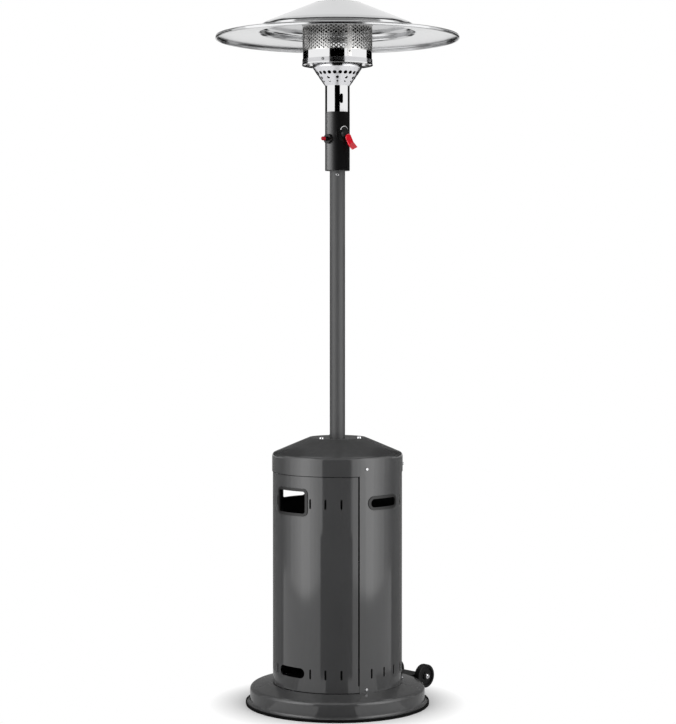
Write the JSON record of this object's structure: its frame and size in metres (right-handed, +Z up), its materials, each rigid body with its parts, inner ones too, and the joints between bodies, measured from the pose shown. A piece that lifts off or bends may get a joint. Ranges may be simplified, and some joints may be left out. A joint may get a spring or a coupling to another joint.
{
  "type": "gas patio heater",
  "caption": "Free-standing outdoor gas heater: wheeled base, round bottle housing with a hinged door, pole, control head with knob and igniter, perforated emitter and a wide reflector.",
  "frame": {"origin": "on the floor under the middle of the base", "axes": "+Z up along the pole, -Y towards the front with the door, +Y towards the wheels, +X towards the gas knob"},
  "size_m": [0.758, 0.758, 2.184],
  "materials": {
    "anthracite_coat": "satin powder coat",
    "black_plastic": "moulded",
    "red_plastic": "moulded",
    "zinc_steel": "zinc plated",
    "polished_steel": "polished",
    "screen_steel": "perforated",
    "reflector_sheet": "satin",
    "brass": "turned",
    "copper_pipe": "drawn",
    "white_insulator": "glazed"
  },
  "bodies": {
    "heater": {"base_pan": "anthracite_coat", "housing_shell": "anthracite_coat", "upright_front_left": "anthracite_coat", "upright_front_right": "anthracite_coat", "upright_rear_left": "anthracite_coat", "upright_rear_right": "anthracite_coat", "housing_cap": "anthracite_coat", "pole": "anthracite_coat", "control_housing": "anthracite_coat", "base_trim": "black_plastic", "wheel_bracket": "black_plastic", "hand_hole_trim_left": "black_plastic", "hand_hole_trim_right": "black_plastic", "catch_magnet": "black_plastic", "head_socket": "black_plastic", "dial_plate": "black_plastic", "igniter_body": "black_plastic", "igniter_collar": "black_plastic", "bracket_screws": "zinc_steel", "wheel_axle": "zinc_steel", "foot_screws": "zinc_steel", "shell_screws": "zinc_steel", "shell_nuts": "zinc_steel", "hinge_bracket": "zinc_steel", "hinge_pin_upper": "zinc_steel", "hinge_pin_lower": "zinc_steel", "pole_flange": "zinc_steel", "flange_nuts": "zinc_steel", "venturi_tube": "zinc_steel", "burner_head": "zinc_steel", "reflector_spacers": "zinc_steel", "axle_caps": "polished_steel", "flange_bolts": "polished_steel", "pole_screws": "polished_steel", "burner_tube": "polished_steel", "air_cone": "polished_steel", "burner_pan": "polished_steel", "pan_screws": "polished_steel", "emitter_cap": "polished_steel", "reflector_screws": "polished_steel", "emitter_screen": "screen_steel", "reflector": "reflector_sheet", "gas_inlet_nipple": "brass", "valve_body": "brass", "gas_jet": "brass", "pilot_burner": "brass", "gas_supply_pipe": "copper_pipe", "main_gas_pipe": "copper_pipe", "thermocouple": "copper_pipe", "tilt_switch": "white_insulator", "spark_electrode": "white_insulator"},
    "door": {"door": "anthracite_coat", "window_trim": "black_plastic", "catch_strike": "zinc_steel"},
    "igniter_button": {"igniter_button": "red_plastic"},
    "valve_spindle": {"valve_spindle": "zinc_steel"},
    "gas_knob": {"knob_hub": "black_plastic", "knob_lever": "red_plastic"},
    "wheel_left": {"wheel_left": "black_plastic"},
    "wheel_right": {"wheel_right": "black_plastic"}
  },
  "joints": [
    {"name": "door_hinge", "type": "hinge", "parent": "heater", "child": "door", "pos_m": [-0.16443, -0.09318, 0.4], "axis": [0, 0, -1], "range_deg": [0, 90]},
    {"name": "igniter_press", "type": "slide", "parent": "heater", "child": "igniter_button", "axis": [0, 1, 0], "range_m": [0, 0.006], "stiffness_N_per_m": 500},
    {"name": "knob_press", "type": "slide", "parent": "heater", "child": "valve_spindle", "axis": [-0.9816, 0.1908, 0], "range_m": [0, 0.0025], "stiffness_N_per_m": 800},
    {"name": "knob_turn", "type": "hinge", "parent": "valve_spindle", "child": "gas_knob", "pos_m": [0.04515, -0.00878, 1.774], "axis": [0.9816, -0.1908, 0], "range_deg": [0, 180]},
    {"name": "wheel_left_spin", "type": "hinge", "parent": "heater", "child": "wheel_left", "pos_m": [-0.066, 0.33, 0.045], "axis": [1, 0, 0], "continuous": true},
    {"name": "wheel_right_spin", "type": "hinge", "parent": "heater", "child": "wheel_right", "pos_m": [0.066, 0.33, 0.045], "axis": [1, 0, 0], "continuous": true}
  ]
}
